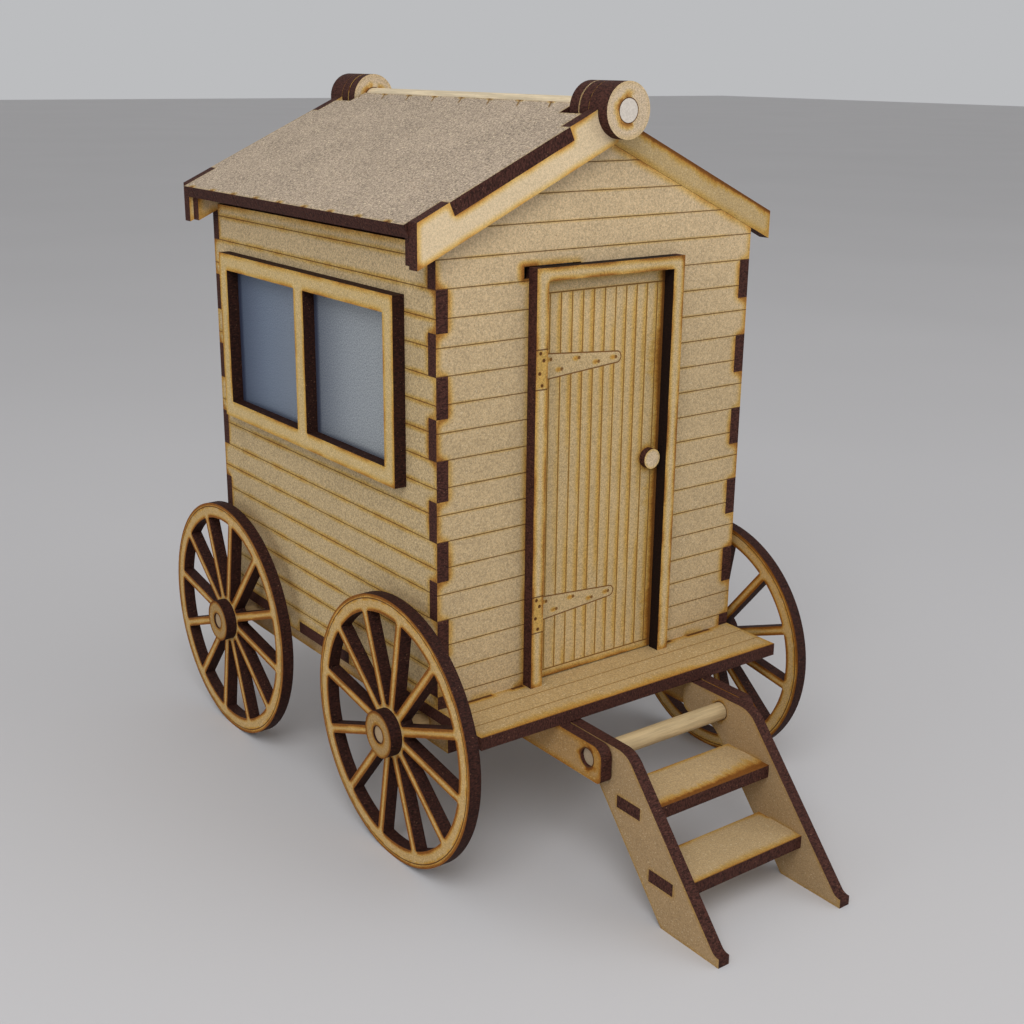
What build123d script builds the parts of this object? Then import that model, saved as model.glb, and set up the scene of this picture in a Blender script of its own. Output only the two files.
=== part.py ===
from build123d import *
import math
import os

# Wheeled beach hut model in laser-cut fibreboard sheet. Millimetres, +Z up, +Y to the back.
# Every piece is drawn with y = 0 on the outer face of the front wall and x = 0 on the middle of the hut.

# Sheet and dowel stock
sheet = 3.0
ridge_dowel_diameter = 5.0
step_dowel_diameter = 4.2
axle_diameter = 4.0
running_gap = 0.05
press_gap = 0.02
step_dowel_recess = 0.8
axle_recess = 0.4

# Hut body
hut_width = 90.0
hut_depth = 103.5
board_pitch = 6.05
board_rows = 16.5
first_finger_row = 1.0
finger_rows = 1.5
axle_to_floor = 4.35
foot_tab = 6.0
foot_tab_margin = 3.0
side_tab_offset = 15.5
platform_projection = 16.8

# Roof
roof_pitch = 24.8
roof_apex = 167.6
arm_width = 5.6
eave = 51.3
ear_inset = 1.0
panel_tab_start = 13.3
panel_tab_end = 46.6
finial_radius = 6.0
finial_room = 1.5
finial_lift = 0.4
ridge_gap = 0.1
side_wall_rise = 2.9

# Right half of the roof, which lifts on the ridge dowel
lid_play = 0.1
lid_rest_gap = 0.1
lid_head_gap = 0.3
lid_disc_gap = 0.4
lid_arm_start = 0.5
lid_arm_rise = 0.25

# Windows
window_front_margin = 12.0
window_back_margin = 8.6
window_bottom = 88.5
window_height = 42.2
window_bar = 4.1
window_mullion = 4.4
pane_sheet = 1.0
pane_lap = 2.0
pane_gap = 0.1

# Door and its frame
door_frame_width = 42.4
door_frame_height = 96.7
door_jamb = 3.2
door_head = 2.9
door_lap = 0.2
door_head_lap = 0.5
door_edge_gap = 0.3
door_latch_gap = 0.5
peg_diameter = 2.6
peg_length = 2.6
peg_gap = 0.3
peg_slot_left = 22.5
peg_slot_right = 7.0
knob_diameter = 4.8
knob_inset = 5.5
knob_height = 49.2
knob_proud = 1.8

# Wheels
wheel_radius = 32.0
wheel_rim = 4.0
wheel_boss = 6.4
spoke_count = 12
spoke_width = 2.3
spoke_phase = 9.5
hub_radius = 5.55
front_axle_inset = 10.1
rear_axle_inset = 10.1
wheel_clearance = 3.6

# Chassis under the floor
rail_spacing = 40.8
rail_depth = 8.85
rail_nose = 14.4
rail_nose_round_top = 2.8
rail_nose_round_bottom = 1.5
bearer_depth = 5.3
bearer_inset = 3.0
bearer_lug = 20.0
bearer_margin = 0.5

# Folding steps
step_angle = 49.2
step_dowel_rise = 0.4
step_dowel_reach = 9.6
stringer_front = 9.4
stringer_back = 4.25
stringer_play = 0.3
stringer_head_play = 0.3
stringer_head_back = 12.4
stringer_head_drop = 4.4
stringer_shoulder_round = 6.3
stringer_throat_round = 5.0
stringer_head_round = 2.5
toe_height = 2.2
toe_length = 1.4
toe_round = 2.4
tread_rise_lower = 12.3
tread_rise_upper = 12.9
tread_depth = 13.2
tread_setback = 2.2
tenon_length = 7.6
tenon_setback = 2.2

# Places worked out from the sizes above
half_width = hut_width / 2
axle_height = wheel_radius
floor_bottom = axle_height + axle_to_floor
floor_top = floor_bottom + sheet
wall_line = floor_top + board_rows * board_pitch
front_axle_y = front_axle_inset
rear_axle_y = hut_depth - rear_axle_inset
wheel_inner_x = half_width + wheel_clearance
rail_inner_x = rail_spacing / 2
rail_bottom = floor_bottom - rail_depth
finial_centre = roof_apex + finial_lift
slope_cos = math.cos(math.radians(roof_pitch))
slope_sin = math.sin(math.radians(roof_pitch))
slope_tan = slope_sin / slope_cos
panel_rise = sheet / slope_cos
arm_drop = arm_width / slope_cos
lid_wall_drop = arm_drop + lid_rest_gap
lid_start_y = lid_play + sheet
step_sin = math.sin(math.radians(step_angle))
step_cos = math.cos(math.radians(step_angle))
step_dowel_y = -(platform_projection + step_dowel_reach)
step_dowel_z = axle_height + step_dowel_rise
stringer_outer_x = rail_inner_x - stringer_play
opening_half = door_frame_width / 2 - door_lap
opening_top = floor_top + door_frame_height - door_head + door_head_lap
door_left = -(opening_half - door_edge_gap)
door_right = opening_half - door_latch_gap
door_bottom = floor_top + door_edge_gap
door_top = opening_top - door_edge_gap
door_face_y = door_edge_gap
hinge_x = door_left + sheet / 2
hinge_y = door_face_y + sheet / 2


def rectangle(low_u, high_u, low_v, high_v):
    """A rectangle by its four limits."""
    middle = Pos((low_u + high_u) / 2, (low_v + high_v) / 2)
    return middle * Rectangle(high_u - low_u, high_v - low_v)


def outline(*points, rounds=None):
    """A closed outline, with a radius for each corner where some are rounded."""
    if rounds is None:
        return make_face(Polyline(*points, close=True))
    return make_face(FilletPolyline(*points, radius=rounds, close=True))


def disc(radius, u, v):
    """A full circle about one point."""
    return Pos(u, v) * Circle(radius)


def across(shape, y, thickness=sheet):
    """Sheet standing across the hut, drawn in x and z, from y backwards."""
    return extrude(Plane.XZ.offset(-y) * shape, amount=thickness, dir=(0, 1, 0))


def along(shape, x, thickness=sheet):
    """Sheet standing along the hut, drawn in y and z, from x to the right."""
    return extrude(Plane.YZ.offset(x) * shape, amount=thickness)


def level(shape, z, thickness=sheet):
    """Sheet lying flat, drawn in x and y, from z upwards."""
    return extrude(Plane.XY.offset(z) * shape, amount=thickness)


def rod(radius, start, direction, length):
    """A dowel from one end, along one axis."""
    return extrude(Plane(start, z_dir=direction) * Circle(radius), amount=length)


def slope_z(x, lift=0.0):
    """Height of the roof's seat at x, raised by lift."""
    return roof_apex - abs(x) * slope_tan + lift


def slope_point(side, run, rise):
    """A point in x and z, run down the slope from the apex and rise square to it."""
    x = run * slope_cos + rise * slope_sin
    return (side * x, roof_apex - run * slope_sin + rise * slope_cos)


def slope_band(side, run_from, run_to, rise_from, rise_to):
    """A strip of one roof slope with ends square to it."""
    return outline(
        slope_point(side, run_from, rise_from),
        slope_point(side, run_to, rise_from),
        slope_point(side, run_to, rise_to),
        slope_point(side, run_from, rise_to),
    )


def side_finger_spans():
    """Heights at which a side wall's fingers pass through the front and back walls."""
    spans = []
    row = first_finger_row
    while row < board_rows:
        top = wall_line - row * board_pitch
        bottom = max(floor_top, top - finger_rows * board_pitch)
        spans.append((bottom, top))
        row += 2 * finger_rows
    return spans


def corner_notches(low_x, high_x):
    """The notches in a front or back wall's edge that side fingers fill."""
    return [rectangle(low_x, high_x, bottom, top) for bottom, top in side_finger_spans()]


def foot_tab_spans():
    """Widths, to the right of the middle, of the tabs under the front and back walls."""
    starts = (opening_half + foot_tab_margin, half_width - foot_tab_margin - foot_tab)
    return [(start, start + foot_tab) for start in starts]


def side_tab_spans():
    """Lengths of the side walls' feet that pass down beside the floor."""
    middle = hut_depth / 2
    return [
        (middle - side_tab_offset - foot_tab / 2, middle - side_tab_offset + foot_tab / 2),
        (middle + side_tab_offset - foot_tab / 2, middle + side_tab_offset + foot_tab / 2),
    ]


def end_wall_half(side, inner_x):
    """Half of a gabled end wall from inner_x outwards, with its fingers and tabs."""
    low_x, high_x = sorted((side * inner_x, side * half_width))
    drop = 0.0 if side < 0 else lid_wall_drop
    shape = outline(
        (low_x, floor_top),
        (high_x, floor_top),
        (high_x, slope_z(high_x, -drop)),
        (low_x, slope_z(low_x, -drop)),
    )
    if side < 0:
        shape += eave_ear()
    limits = sorted((side * (half_width - sheet), side * half_width))
    for notch in corner_notches(*limits):
        shape -= notch
    for near, far in foot_tab_spans():
        low_x, high_x = sorted((side * near, side * far))
        shape += rectangle(low_x, high_x, floor_bottom, floor_top)
    return shape


def eave_ear():
    """The end wall's left ear, which carries the eave of the fixed roof panel."""
    tip = eave - ear_inset
    inner = half_width - sheet
    return outline(
        (-inner, slope_z(inner, -arm_drop)),
        (-tip, slope_z(tip, -arm_drop)),
        (-tip, slope_z(tip)),
        (-inner, slope_z(inner)),
    )


def ridge_hole():
    """The hole that the ridge dowel is pressed into."""
    return disc(ridge_dowel_diameter / 2 + press_gap, 0, finial_centre)


def gable_head(bottom):
    """The middle of an end wall, over the door's width, cut away round the lid's head."""
    shape = outline(
        (-opening_half, bottom),
        (opening_half, bottom),
        (opening_half, slope_z(opening_half, -lid_wall_drop)),
        (0, slope_z(0, -lid_wall_drop)),
        (0, slope_z(0)),
        (-opening_half, slope_z(opening_half)),
    )
    return shape - disc(finial_radius + lid_head_gap, 0, finial_centre)


def front_wall_left():
    shape = end_wall_half(-1, opening_half)
    slot_top = opening_top + peg_length
    shape -= rectangle(-peg_slot_left, -opening_half, opening_top, slot_top)
    return across(shape, 0)


def front_wall_right():
    return across(end_wall_half(1, opening_half), 0)


def front_wall_head():
    shape = gable_head(opening_top)
    shape -= rectangle(-opening_half, -peg_slot_right, opening_top, opening_top + peg_length)
    return across(shape, 0)


def back_wall():
    shape = gable_head(floor_top)
    shape += end_wall_half(-1, opening_half)
    shape += end_wall_half(1, opening_half)
    return across(shape, hut_depth - sheet)


def window_limits():
    """The outer limits of a window frame in y and z."""
    back = hut_depth - window_back_margin
    return window_front_margin, back, window_bottom, window_bottom + window_height


def pane_limits(shrink):
    """The limits of the wall's window opening, less a gap all round."""
    low_y, high_y, low_z, high_z = window_limits()
    inset = pane_lap + shrink
    return low_y + inset, high_y - inset, low_z + inset, high_z - inset


def side_wall(side):
    upper_start = sheet if side < 0 else lid_start_y + lid_rest_gap
    shape = rectangle(sheet, hut_depth - sheet, floor_top, wall_line)
    shape += rectangle(upper_start, hut_depth - upper_start, wall_line, wall_line + side_wall_rise)
    for bottom, high in side_finger_spans():
        shape += rectangle(0, hut_depth, bottom, high)
    for near, far in side_tab_spans():
        shape += rectangle(near, far, floor_bottom, floor_top)
    shape -= rectangle(*pane_limits(0.0))
    return along(shape, -half_width if side < 0 else half_width - sheet)


def floor_plate():
    shape = rectangle(-half_width, half_width, -platform_projection, hut_depth)
    for near, far in foot_tab_spans():
        for side in (-1, 1):
            low_x, high_x = sorted((side * near, side * far))
            shape -= rectangle(low_x, high_x, 0, sheet)
            shape -= rectangle(low_x, high_x, hut_depth - sheet, hut_depth)
    for near, far in side_tab_spans():
        shape -= rectangle(-half_width, sheet - half_width, near, far)
        shape -= rectangle(half_width - sheet, half_width, near, far)
    shape -= disc(peg_diameter / 2 + peg_gap, hinge_x, hinge_y)
    return level(shape, floor_bottom)


def ridge_edge(rise):
    """How far down the slope a panel starts so that it clears the ridge dowel."""
    level_rise = finial_lift * slope_cos
    offset = level_rise - min(max(level_rise, rise), rise + sheet)
    reach = ridge_dowel_diameter / 2 + ridge_gap
    return math.sqrt(reach**2 - offset**2) - finial_lift * slope_sin


def roof_panel(side, rise, start_y):
    """A roof panel with its ridge corners cut away round the finials."""
    low_run = ridge_edge(rise)
    band = slope_band(side, low_run, eave / slope_cos, rise, rise + sheet)
    body = across(band, start_y, hut_depth - 2 * start_y)
    corner_run = finial_radius + finial_room - finial_lift * slope_sin
    corner = slope_band(side, low_run - sheet, corner_run, rise - sheet, rise + 2 * sheet)
    corner_length = 2 * sheet + finial_room
    body -= across(corner, 0, corner_length)
    return body - across(corner, hut_depth - corner_length, corner_length)


def roof_panel_left():
    panel = roof_panel(-1, 0.0, 0.0)
    tab = slope_band(-1, panel_tab_start, panel_tab_end, 0.0, sheet)
    return panel + across(tab, -sheet) + across(tab, hut_depth)


def roof_panel_right():
    return roof_panel(1, -sheet, lid_start_y)


def lid_arm(y):
    """A gable arm of the lid, level with the face of the end wall, with its head on the dowel."""
    shape = outline(
        (lid_arm_start, slope_z(lid_arm_start, -arm_drop)),
        (eave, slope_z(eave, -arm_drop)),
        (eave, slope_z(eave, lid_arm_rise)),
        (lid_arm_start, slope_z(lid_arm_start, lid_arm_rise)),
    )
    shape += disc(finial_radius, 0, finial_centre)
    return across(shape - disc(ridge_dowel_diameter / 2 + running_gap, 0, finial_centre), y)


def bargeboard(y):
    """The gable board of the fixed roof panel: a notched left arm with a round head."""
    low = roof_apex - arm_drop
    shape = outline(
        (0, low),
        (0, slope_z(0, panel_rise)),
        (-eave, slope_z(eave, panel_rise)),
        (-eave, low - eave * slope_tan),
    )
    shape -= slope_band(-1, panel_tab_start, panel_tab_end, 0.0, 2 * sheet)
    return across(shape + disc(finial_radius, 0, finial_centre) - ridge_hole(), y)


def finial_disc(y):
    return across(disc(finial_radius, 0, finial_centre) - ridge_hole(), y)


def ridge_dowel():
    start = -2 * sheet
    return rod(ridge_dowel_diameter / 2, (0, start, finial_centre), (0, 1, 0), hut_depth - 2 * start)


def window_frame(side):
    """A frame of two lights on the outer face of a side wall."""
    low_y, high_y, low_z, high_z = window_limits()
    middle = (low_y + high_y) / 2
    shape = rectangle(low_y, high_y, low_z, high_z)
    sill, head = low_z + window_bar, high_z - window_bar
    shape -= rectangle(low_y + window_bar, middle - window_mullion / 2, sill, head)
    shape -= rectangle(middle + window_mullion / 2, high_y - window_bar, sill, head)
    return along(shape, -half_width - sheet if side < 0 else half_width)


def window_pane(side):
    """A thin pane level with the outer face of the side wall, behind the frame."""
    shape = rectangle(*pane_limits(pane_gap))
    return along(shape, -half_width if side < 0 else half_width - pane_sheet, pane_sheet)


def door_frame():
    """Two jambs and a head in one sheet, on the face of the front wall."""
    outer = door_frame_width / 2
    top = floor_top + door_frame_height
    shape = rectangle(-outer, outer, floor_top, top)
    shape -= rectangle(door_jamb - outer, outer - door_jamb, floor_top, top - door_head)
    return across(shape, -sheet)


def knob_centre():
    """Where the knob goes through the door, in x and z."""
    return door_right - knob_inset, floor_top + knob_height


def door():
    """A leaf with a round hinge edge and a peg at each end of it."""
    leaf = rectangle(hinge_x, door_right, door_bottom, door_top)
    leaf -= disc(knob_diameter / 2 + press_gap, *knob_centre())
    body = across(leaf, door_face_y)
    body += rod(sheet / 2, (hinge_x, hinge_y, door_bottom), (0, 0, 1), door_top - door_bottom)
    peg = peg_diameter / 2
    body += rod(peg, (hinge_x, hinge_y, door_top), (0, 0, 1), peg_length)
    peg_foot = (hinge_x, hinge_y, door_bottom - peg_length)
    return body + rod(peg, peg_foot, (0, 0, 1), peg_length)


def door_knob():
    x, z = knob_centre()
    start = (x, door_face_y - knob_proud, z)
    return rod(knob_diameter / 2, start, (0, 1, 0), knob_proud + sheet)


def rail(side):
    """A long rail that carries the axles and the step dowel."""
    nose = -(platform_projection + rail_nose)
    nose_top = floor_bottom - stringer_head_play
    rounds = [rail_nose_round_bottom, 0, 0, 0, 0, rail_nose_round_top]
    shape = outline(
        (nose, rail_bottom),
        (hut_depth, rail_bottom),
        (hut_depth, floor_bottom),
        (-platform_projection, floor_bottom),
        (-platform_projection, nose_top),
        (nose, nose_top),
        rounds=rounds,
    )
    shape -= disc(step_dowel_diameter / 2 + press_gap, step_dowel_y, step_dowel_z)
    for axle_y in (front_axle_y, rear_axle_y):
        shape -= disc(axle_diameter / 2 + running_gap, axle_y, axle_height)
    return along(shape, -rail_inner_x - sheet if side < 0 else rail_inner_x)


def bearer(side):
    """A shallow strip near each side with a deeper lug round each axle."""
    back = hut_depth - bearer_margin
    shape = rectangle(bearer_margin, back, floor_bottom - bearer_depth, floor_bottom)
    for axle_y in (front_axle_y, rear_axle_y):
        low_y = max(bearer_margin, axle_y - bearer_lug / 2)
        high_y = min(back, axle_y + bearer_lug / 2)
        shape += rectangle(low_y, high_y, rail_bottom, floor_bottom)
        shape -= disc(axle_diameter / 2 + running_gap, axle_y, axle_height)
    outer = half_width - bearer_inset
    return along(shape, -outer if side < 0 else outer - sheet)


def axle(y):
    reach = wheel_inner_x + 2 * sheet - axle_recess
    return rod(axle_diameter / 2, (-reach, y, axle_height), (1, 0, 0), 2 * reach)


def wheel(side, y):
    """A rim, a boss and straight spokes, cut from one sheet."""
    shape = Circle(wheel_radius) - Circle(wheel_radius - wheel_rim) + Circle(wheel_boss)
    spoke_length = wheel_radius - wheel_rim / 2
    spoke = Pos(spoke_length / 2, 0) * Rectangle(spoke_length, spoke_width)
    for index in range(spoke_count):
        shape += Rot(0, 0, spoke_phase + index * 360 / spoke_count) * spoke
    shape -= Circle(axle_diameter / 2 + press_gap)
    return along(Pos(y, axle_height) * shape, -wheel_inner_x - sheet if side < 0 else wheel_inner_x)


def hub(side, y):
    shape = disc(hub_radius, y, axle_height) - disc(axle_diameter / 2 + press_gap, y, axle_height)
    outer = wheel_inner_x + 2 * sheet
    return along(shape, -outer if side < 0 else outer - sheet)


def step_edge_y(offset, z):
    """Where a line along the stringer, offset forwards from the dowel, passes height z."""
    return step_dowel_y + ((z - step_dowel_z) * step_cos - offset) / step_sin


def tread_spans():
    """Top and front of each tread."""
    tops = (tread_rise_lower, tread_rise_lower + tread_rise_upper)
    return [(top, step_edge_y(stringer_front, top) + tread_setback) for top in tops]


def toe_front_y():
    return step_edge_y(stringer_front, toe_height) - toe_length


def step_stringer(side):
    """A sloping side of the steps: a head round the dowel, a straight run and a flared toe."""
    head_top = floor_bottom - stringer_head_play
    head_low = step_dowel_z - stringer_head_drop
    head_back = step_dowel_y + stringer_head_back
    shape = outline(
        (toe_front_y(), 0),
        (step_edge_y(-stringer_back, 0), 0),
        (step_edge_y(-stringer_back, head_low), head_low),
        (head_back, head_low),
        (head_back, head_top),
        (step_edge_y(stringer_front, head_top), head_top),
        (step_edge_y(stringer_front, toe_height), toe_height),
        (toe_front_y(), toe_height),
        rounds=[
            0,
            0,
            stringer_throat_round,
            stringer_head_round,
            stringer_head_round,
            stringer_shoulder_round,
            toe_round,
            0,
        ],
    )
    shape -= disc(step_dowel_diameter / 2 + running_gap, step_dowel_y, step_dowel_z)
    for top, front in tread_spans():
        tenon = front + tenon_setback
        shape -= rectangle(tenon, tenon + tenon_length, top - sheet, top)
    return along(shape, -stringer_outer_x if side < 0 else stringer_outer_x - sheet)


def step_tread(top, front):
    """A tread between the stringers with a tenon through each."""
    inner = stringer_outer_x - sheet
    tenon = front + tenon_setback
    shape = rectangle(-inner, inner, front, front + tread_depth)
    shape += rectangle(-stringer_outer_x, stringer_outer_x, tenon, tenon + tenon_length)
    return level(shape, top - sheet)


def step_dowel():
    reach = rail_inner_x + sheet - step_dowel_recess
    return rod(step_dowel_diameter / 2, (-reach, step_dowel_y, step_dowel_z), (1, 0, 0), 2 * reach)


def hut_pieces():
    inner_disc_y = lid_start_y + lid_disc_gap
    lower_tread, upper_tread = tread_spans()
    return {
        "front_wall_left": front_wall_left(),
        "front_wall_right": front_wall_right(),
        "front_wall_head": front_wall_head(),
        "back_wall": back_wall(),
        "side_wall_left": side_wall(-1),
        "side_wall_right": side_wall(1),
        "floor_plate": floor_plate(),
        "roof_panel_left": roof_panel_left(),
        "roof_panel_right": roof_panel_right(),
        "bargeboard_front": bargeboard(-sheet),
        "bargeboard_back": bargeboard(hut_depth),
        "lid_arm_front": lid_arm(lid_play),
        "lid_arm_back": lid_arm(hut_depth - lid_start_y),
        "finial_disc_front_outer": finial_disc(-2 * sheet),
        "finial_disc_front_inner": finial_disc(inner_disc_y),
        "finial_disc_back_inner": finial_disc(hut_depth - inner_disc_y - sheet),
        "finial_disc_back_outer": finial_disc(hut_depth + sheet),
        "ridge_dowel": ridge_dowel(),
        "window_frame_left": window_frame(-1),
        "window_frame_right": window_frame(1),
        "window_pane_left": window_pane(-1),
        "window_pane_right": window_pane(1),
        "door_frame": door_frame(),
        "door": door(),
        "door_knob": door_knob(),
        "rail_left": rail(-1),
        "rail_right": rail(1),
        "bearer_left": bearer(-1),
        "bearer_right": bearer(1),
        "step_stringer_left": step_stringer(-1),
        "step_stringer_right": step_stringer(1),
        "step_tread_lower": step_tread(*lower_tread),
        "step_tread_upper": step_tread(*upper_tread),
        "step_dowel": step_dowel(),
    }


def wheel_pieces():
    pieces = {}
    for place, y in (("front", front_axle_y), ("rear", rear_axle_y)):
        pieces[f"{place}_axle"] = axle(y)
        for hand, side in (("left", -1), ("right", 1)):
            pieces[f"wheel_{place}_{hand}"] = wheel(side, y)
            pieces[f"hub_{place}_{hand}"] = hub(side, y)
    return pieces


def main():
    # The origin lies on the ground under the middle of the whole length
    back_reach = max(rear_axle_y + wheel_radius, hut_depth + 2 * sheet)
    shift_y = -(toe_front_y() + back_reach) / 2
    os.makedirs("parts", exist_ok=True)
    for name, piece in {**hut_pieces(), **wheel_pieces()}.items():
        export_step(Pos(0, shift_y, 0) * piece, f"parts/{name}.step")
    print("shift y", round(shift_y, 4))
    print("door hinge", round(hinge_x, 4), round(hinge_y + shift_y, 4), round(floor_top, 4))
    print("step dowel", round(step_dowel_y + shift_y, 4), round(step_dowel_z, 4))
    print("axles", round(front_axle_y + shift_y, 4), round(rear_axle_y + shift_y, 4), axle_height)
    print("toe front", round(toe_front_y() + shift_y, 4))


main()
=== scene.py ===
"""A wheeled beach hut model, cut from scorched fibreboard sheet and pinned with birch dowels.

Each sub-assembly of the hut is a class that dresses its own pieces. The finishes are small frozen
dataclasses that lay out shader nodes from the place on a piece in millimetres.
"""

import logging
import math
from dataclasses import dataclass
from enum import Enum
from typing import Protocol, Union

import bpy
from mathutils import Matrix, Vector


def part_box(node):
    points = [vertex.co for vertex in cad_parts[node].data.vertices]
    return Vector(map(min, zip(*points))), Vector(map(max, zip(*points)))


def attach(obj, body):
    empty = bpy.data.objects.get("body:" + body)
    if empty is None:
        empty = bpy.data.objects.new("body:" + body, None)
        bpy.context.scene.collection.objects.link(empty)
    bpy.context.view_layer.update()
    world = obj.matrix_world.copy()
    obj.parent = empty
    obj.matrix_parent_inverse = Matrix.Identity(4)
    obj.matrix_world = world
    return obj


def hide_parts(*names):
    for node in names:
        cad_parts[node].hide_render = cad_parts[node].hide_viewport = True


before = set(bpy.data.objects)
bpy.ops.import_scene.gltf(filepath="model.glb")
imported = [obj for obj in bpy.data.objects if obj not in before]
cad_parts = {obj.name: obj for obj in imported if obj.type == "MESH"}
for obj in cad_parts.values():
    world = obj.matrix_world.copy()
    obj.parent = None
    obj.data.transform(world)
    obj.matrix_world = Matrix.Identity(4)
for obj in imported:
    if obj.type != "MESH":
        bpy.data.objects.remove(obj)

log = logging.getLogger("beach_hut")

Colour = tuple[float, float, float, float]
Direction = tuple[float, float, float]

# A fade is nothing at its first number and full at its second.
Fade = tuple[float, float]

TO_MM = 1000.0
ROOF_PITCH = math.radians(24.8)
MERGE_DISTANCE = 0.000002
FLAT_ANGLE = math.radians(0.5)

LOOKS_SQUARE: Fade = (0.5, 0.8)
BURNT_LINE: Fade = (0.2, 0.06)
OUTLINE: Fade = (0.22, 0.08)
NAIL_HOLE: Fade = (0.5, 0.3)
TOWARDS_DOOR: Direction = (0, -1, 0)
UPWARDS: Direction = (0, 0, 1)


def paint(red: int, green: int, blue: int) -> Colour:
    """Turn a colour as a screen shows it into the linear colour a shader takes.

    Args:
        red: Red from 0 to 255.
        green: Green from 0 to 255.
        blue: Blue from 0 to 255.

    Returns:
        The linear colour with full alpha.
    """
    parts = []
    for part in (red, green, blue):
        level = part / 255
        parts.append(level / 12.92 if level <= 0.04045 else ((level + 0.055) / 1.055) ** 2.4)
    return (parts[0], parts[1], parts[2], 1.0)


def shaded(colour: Colour, factor: float) -> Colour:
    """A colour made lighter or darker, with full alpha."""
    return tuple(min(1.0, part * factor) for part in colour[:3]) + (1.0,)


def drawn_out(direction: Direction, factor: float) -> Direction:
    """The scale that draws a pattern out along the main axis of a direction."""
    return tuple(factor if abs(part) > 0.5 else 1.0 for part in direction)


class SheetSide(Enum):
    """Which way the two broad faces of a sheet look."""

    ACROSS = (0.0, 1.0, 0.0)
    ALONG = (1.0, 0.0, 0.0)
    LEVEL = (0.0, 0.0, 1.0)
    LEFT_SLOPE = (-math.sin(ROOF_PITCH), 0.0, math.cos(ROOF_PITCH))
    RIGHT_SLOPE = (math.sin(ROOF_PITCH), 0.0, math.cos(ROOF_PITCH))


class Hand(Enum):
    """The left or the right side of the hut, for someone who faces the door."""

    LEFT = -1
    RIGHT = 1

    @property
    def word(self) -> str:
        """The hand as it stands in a piece's name."""
        return self.name.lower()


class Axle(Enum):
    """The pair of wheels nearer to the door or to the back wall."""

    FRONT = "front"
    REAR = "rear"


class Signal:
    """A shader value that adds and multiplies as a number does."""

    def __init__(self, bench: "NodeBench", socket: bpy.types.NodeSocket) -> None:
        """Keep the socket and the bench that lays further nodes."""
        self.bench = bench
        self.socket = socket

    def __add__(self, other: "Number") -> "Signal":
        """Add a number or a signal."""
        return self.bench.math("ADD", self, other)

    def __sub__(self, other: "Number") -> "Signal":
        """Take away a number or a signal."""
        return self.bench.math("SUBTRACT", self, other)

    def __rsub__(self, other: "Number") -> "Signal":
        """Take the signal away from a number."""
        return self.bench.math("SUBTRACT", other, self)

    def __mul__(self, other: "Number") -> "Signal":
        """Multiply by a number or a signal."""
        return self.bench.math("MULTIPLY", self, other)

    def __truediv__(self, other: "Number") -> "Signal":
        """Divide by a number or a signal."""
        return self.bench.math("DIVIDE", self, other)

    def size(self) -> "Signal":
        """The signal without its sign."""
        return self.bench.math("ABSOLUTE", self, 0.0)

    def fraction(self) -> "Signal":
        """What is left over after whole numbers."""
        return self.bench.math("FRACT", self, 0.0)

    def to_nearest(self, pitch: float) -> "Signal":
        """The distance to the nearest of the places that lie one pitch apart, from 0 on."""
        return self.bench.math("PINGPONG", self / pitch, 0.5) * pitch

    def most(self, other: "Number") -> "Signal":
        """The larger of two values."""
        return self.bench.math("MAXIMUM", self, other)

    def least(self, other: "Number") -> "Signal":
        """The smaller of two values."""
        return self.bench.math("MINIMUM", self, other)

    def power(self, exponent: float) -> "Signal":
        """The signal raised to a power."""
        return self.bench.math("POWER", self, exponent)

    def diagonal(self, other: "Signal") -> "Signal":
        """The distance that two distances at right angles make."""
        return (self * self + other * other).power(0.5)

    def held(self) -> "Signal":
        """The signal held between 0 and 1."""
        return self.bench.math("MULTIPLY", self, 1.0, clamp=True)

    def along(self, direction: Direction) -> "Signal":
        """How far this vector goes along a fixed direction."""
        node = self.bench.add("ShaderNodeVectorMath", operation="DOT_PRODUCT")
        self.bench.join(node.inputs[0], self)
        node.inputs[1].default_value = direction
        return Signal(self.bench, node.outputs["Value"])

    def scaled(self, scale: Direction) -> "Signal":
        """This vector with each of its parts scaled."""
        node = self.bench.add("ShaderNodeVectorMath", operation="MULTIPLY")
        self.bench.join(node.inputs[0], self)
        node.inputs[1].default_value = scale
        return Signal(self.bench, node.outputs["Vector"])

    def blend(self, low: "Paint", high: "Paint") -> "Signal":
        """The low colour where this signal is 0 and the high one where it is 1."""
        return self.bench.mixed("MIX", self, low, high)

    def tint(self, amount: "Signal", factors: Direction) -> "Signal":
        """This colour times factors for red, green and blue, as far as the amount says."""
        return self.bench.mixed("MULTIPLY", amount, self, (*factors, 1.0))

    def noise(self, scale: float, detail: float = 2.0, rough: float = 0.5) -> "Signal":
        """Cloudy noise around one half, read at this place.

        Args:
            scale: Features to the millimetre.
            detail: Octaves of finer noise.
            rough: How strong the finer octaves are.

        Returns:
            The noise.
        """
        node = self.bench.add("ShaderNodeTexNoise")
        self.bench.join(node.inputs["Vector"], self)
        node.inputs["Scale"].default_value = scale
        node.inputs["Detail"].default_value = detail
        node.inputs["Roughness"].default_value = rough
        return Signal(self.bench, node.outputs[0])

    def fade(self, nothing: float, full: float) -> "Signal":
        """Go smoothly from 0 where the signal is nothing to 1 where it is full.

        Args:
            nothing: The value at and beyond which the result is 0.
            full: The value at and beyond which the result is 1.

        Returns:
            The faded signal.
        """
        node = self.bench.add("ShaderNodeMapRange", interpolation_type="SMOOTHSTEP")
        self.bench.join(node.inputs["Value"], self)
        node.inputs["From Min"].default_value = nothing
        node.inputs["From Max"].default_value = full
        return Signal(self.bench, node.outputs["Result"])


Number = Union[float, Signal]
Paint = Union[Signal, Colour]


@dataclass(frozen=True)
class Spot:
    """Where the shader is on a piece, in millimetres, and which way the surface faces."""

    x: Signal
    y: Signal
    z: Signal
    place: Signal
    facing: Signal


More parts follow.
